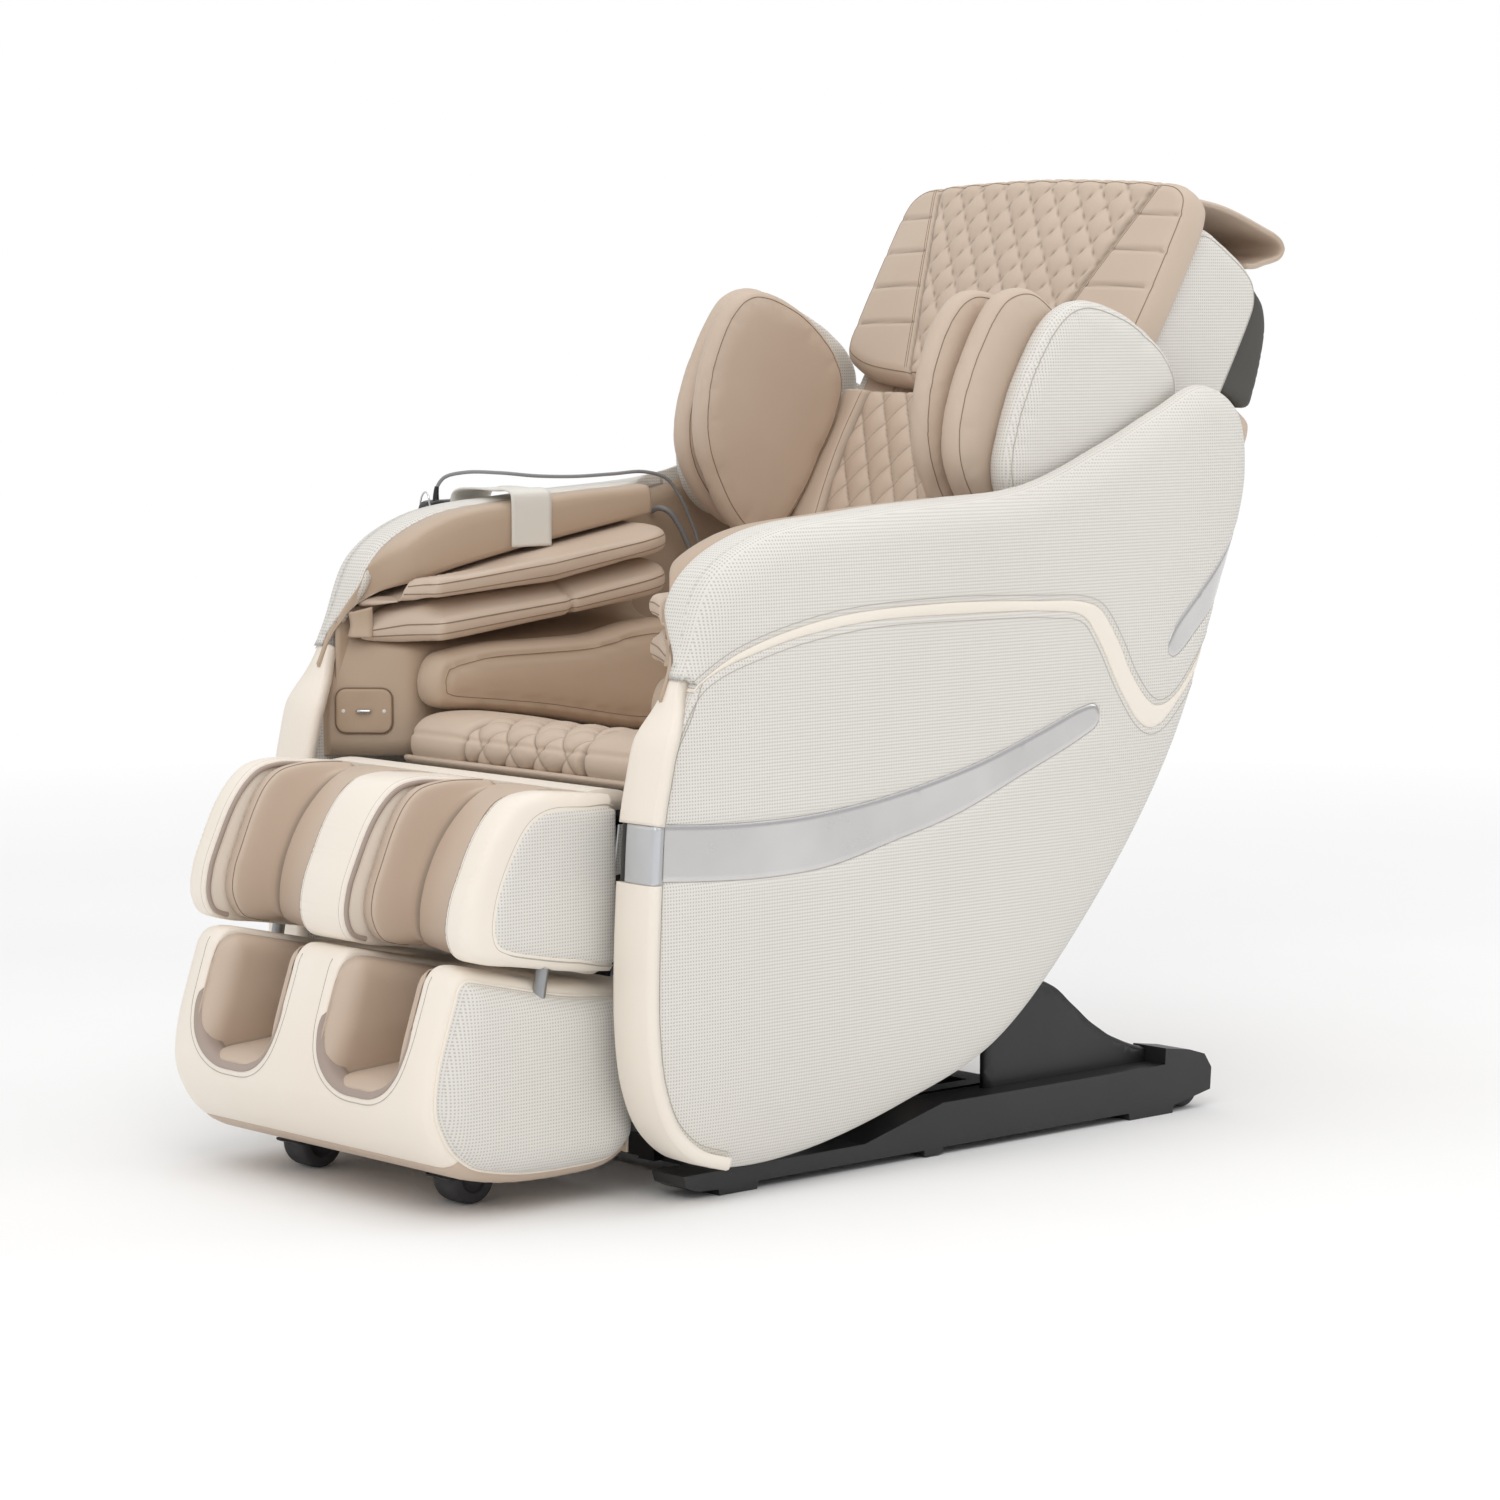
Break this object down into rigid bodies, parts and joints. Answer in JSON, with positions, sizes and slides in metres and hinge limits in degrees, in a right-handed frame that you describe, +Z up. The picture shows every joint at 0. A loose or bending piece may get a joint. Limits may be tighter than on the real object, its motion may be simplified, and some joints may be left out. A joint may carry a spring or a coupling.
{
  "type": "massage chair",
  "caption": "Upholstered massage chair with a rocking seat, reclining winged back, arm cuffs, and a leg rest with a telescoping foot section on casters.",
  "frame": {"origin": "on the floor, at the underside of the base frame's centre foot", "axes": "+Z up, the sitter faces -Y, +X is the sitter's left"},
  "size_m": [0.799, 1.5541, 1.2647],
  "materials": {
    "tan_leather": "matte grained leatherette, stitched and quilted",
    "perforated_leather": "greige perforated leatherette",
    "ivory_leather": "smooth ivory leatherette",
    "silver": "satin silver",
    "base_black": "satin black",
    "charcoal_plastic": "textured charcoal",
    "motor_black": "black moulding",
    "tan_plastic": "satin tan moulding",
    "steel": "zinc plated",
    "rubber": "dark grey rubber",
    "cord_grey": "grey cable jacket"
  },
  "bodies": {
    "base": {"base_rail_left": "base_black", "base_rail_right": "base_black", "base_frame": "steel", "base_cover": "base_black"},
    "rear_wheel_left": {"rear_wheel_left": "rubber"},
    "rear_wheel_right": {"rear_wheel_right": "rubber"},
    "seat_body": {"seat_frame": "steel", "seat_cushion": "tan_leather", "arm_panel_left": "perforated_leather", "arm_panel_right": "perforated_leather", "accent_band_left": "ivory_leather", "accent_band_right": "ivory_leather", "side_panel_left": "perforated_leather", "side_panel_right": "perforated_leather", "silver_trim_left": "silver", "silver_trim_right": "silver", "arm_liner_left": "tan_leather", "arm_liner_right": "tan_leather", "arm_pad_upper_left": "tan_leather", "arm_pad_upper_right": "tan_leather", "arm_pad_lower_left": "tan_leather", "arm_pad_lower_right": "tan_leather", "hip_pad_left": "tan_leather", "hip_pad_right": "tan_leather", "control_pod": "tan_plastic", "remote_holder": "ivory_leather", "remote": "motor_black", "remote_cord": "cord_grey", "arm_hose": "cord_grey"},
    "pod_lever": {"pod_lever": "steel"},
    "backrest": {"back_shell": "perforated_leather", "back_cover": "charcoal_plastic", "rear_upholstery": "tan_leather", "back_cushion": "tan_leather", "head_pillow": "tan_leather", "pillow_flap": "tan_leather", "guide_frame": "steel", "wing_shell_left": "perforated_leather", "wing_shell_right": "perforated_leather", "wing_pad_outer_left": "tan_leather", "wing_pad_outer_right": "tan_leather", "wing_pad_inner_left": "tan_leather", "wing_pad_inner_right": "tan_leather"},
    "massage_carriage": {"massage_carriage": "motor_black"},
    "massage_arm_left": {"massage_arm_left": "motor_black"},
    "massage_arm_right": {"massage_arm_right": "motor_black"},
    "legrest": {"calf_shell": "ivory_leather", "calf_pad_left": "tan_leather", "calf_pad_right": "tan_leather"},
    "footrest": {"foot_shell": "ivory_leather", "foot_pad_left": "tan_leather", "foot_pad_right": "tan_leather"},
    "caster_wheel_left": {"caster_wheel_left": "rubber"},
    "caster_wheel_right": {"caster_wheel_right": "rubber"},
    "tilt_motor": {"tilt_motor": "motor_black"},
    "tilt_rod": {"tilt_rod": "steel"},
    "leg_motor": {"leg_motor": "motor_black"},
    "leg_rod": {"leg_rod": "steel"},
    "recline_motor": {"recline_motor": "motor_black"},
    "recline_rod": {"recline_rod": "steel"}
  },
  "joints": [
    {"name": "body_tilt", "type": "hinge", "parent": "base", "child": "seat_body", "pos_m": [0, 0, 0.3], "axis": [-1, 0, 0], "range_deg": [0, 18]},
    {"name": "backrest_recline", "type": "hinge", "parent": "seat_body", "child": "backrest", "pos_m": [0, 0.11, 0.47], "axis": [-1, 0, 0], "range_deg": [0, 38]},
    {"name": "leg_lift", "type": "hinge", "parent": "seat_body", "child": "legrest", "pos_m": [0, -0.432, 0.482], "axis": [-1, 0, 0], "range_deg": [0, 75]},
    {"name": "foot_extend", "type": "slide", "parent": "legrest", "child": "footrest", "axis": [0, -0.2019, -0.9794], "range_m": [0, 0.121]},
    {"name": "tilt_motor_pivot", "type": "hinge", "parent": "base", "child": "tilt_motor", "pos_m": [-0.07, -0.25, 0.06], "axis": [-1, 0, 0], "range_deg": [0, 5.67]},
    {"name": "tilt_rod_slide", "type": "slide", "parent": "tilt_motor", "child": "tilt_rod", "axis": [0, 0.1357, 0.9907], "range_m": [0, 0.0646]},
    {"name": "leg_motor_pivot", "type": "hinge", "parent": "seat_body", "child": "leg_motor", "pos_m": [0.07, -0.06, 0.365], "axis": [-1, 0, 0], "range_deg": [0, 18.2]},
    {"name": "leg_rod_slide", "type": "slide", "parent": "leg_motor", "child": "leg_rod", "axis": [0, -0.9965, -0.083], "range_m": [0, 0.1251]},
    {"name": "recline_motor_pivot", "type": "hinge", "parent": "seat_body", "child": "recline_motor", "pos_m": [0, -0.15, 0.395], "axis": [-1, 0, 0], "range_deg": [0, 11.37]},
    {"name": "recline_rod_slide", "type": "slide", "parent": "recline_motor", "child": "recline_rod", "axis": [0, 0.9872, 0.1594], "range_m": [-0.0401, 0]},
    {"name": "massage_travel", "type": "slide", "parent": "backrest", "child": "massage_carriage", "axis": [0, 0.515, 0.8572], "range_m": [0, 0.48]},
    {"name": "massage_arm_left_rock", "type": "hinge", "parent": "massage_carriage", "child": "massage_arm_left", "pos_m": [0.053, 0.30545, 0.61837], "axis": [1, 0, 0], "range_deg": [-8, 8]},
    {"name": "caster_left_spin", "type": "hinge", "parent": "footrest", "child": "caster_wheel_left", "pos_m": [0.153, -0.632, 0.033], "axis": [1, 0, 0], "continuous": true},
    {"name": "rear_wheel_left_spin", "type": "hinge", "parent": "base", "child": "rear_wheel_left", "pos_m": [0.307, 0.488, 0.029], "axis": [1, 0, 0], "continuous": true},
    {"name": "massage_arm_right_rock", "type": "hinge", "parent": "massage_carriage", "child": "massage_arm_right", "pos_m": [-0.053, 0.30545, 0.61837], "axis": [1, 0, 0], "range_deg": [-8, 8]},
    {"name": "caster_right_spin", "type": "hinge", "parent": "footrest", "child": "caster_wheel_right", "pos_m": [-0.153, -0.632, 0.033], "axis": [1, 0, 0], "continuous": true},
    {"name": "rear_wheel_right_spin", "type": "hinge", "parent": "base", "child": "rear_wheel_right", "pos_m": [-0.307, 0.488, 0.029], "axis": [1, 0, 0], "continuous": true},
    {"name": "pod_lever_rock", "type": "hinge", "parent": "seat_body", "child": "pod_lever", "pos_m": [-0.30642, -0.42758, 0.557], "axis": [-0.7071, -0.7071, 0], "range_deg": [-12, 12], "stiffness_Nm_per_rad": 0.05}
  ],
  "couplings": [
    {"joint": "foot_extend", "follows": "leg_lift", "m_per_rad": 0.09167},
    {"joint": "tilt_motor_pivot", "follows": "body_tilt", "ratio": 0.2982},
    {"joint": "tilt_rod_slide", "follows": "body_tilt", "m_per_rad": 0.20256},
    {"joint": "leg_motor_pivot", "follows": "leg_lift", "ratio": 0.2387},
    {"joint": "leg_rod_slide", "follows": "leg_lift", "m_per_rad": 0.09479},
    {"joint": "recline_motor_pivot", "follows": "backrest_recline", "ratio": 0.2913},
    {"joint": "recline_rod_slide", "follows": "backrest_recline", "m_per_rad": -0.05891}
  ]
}
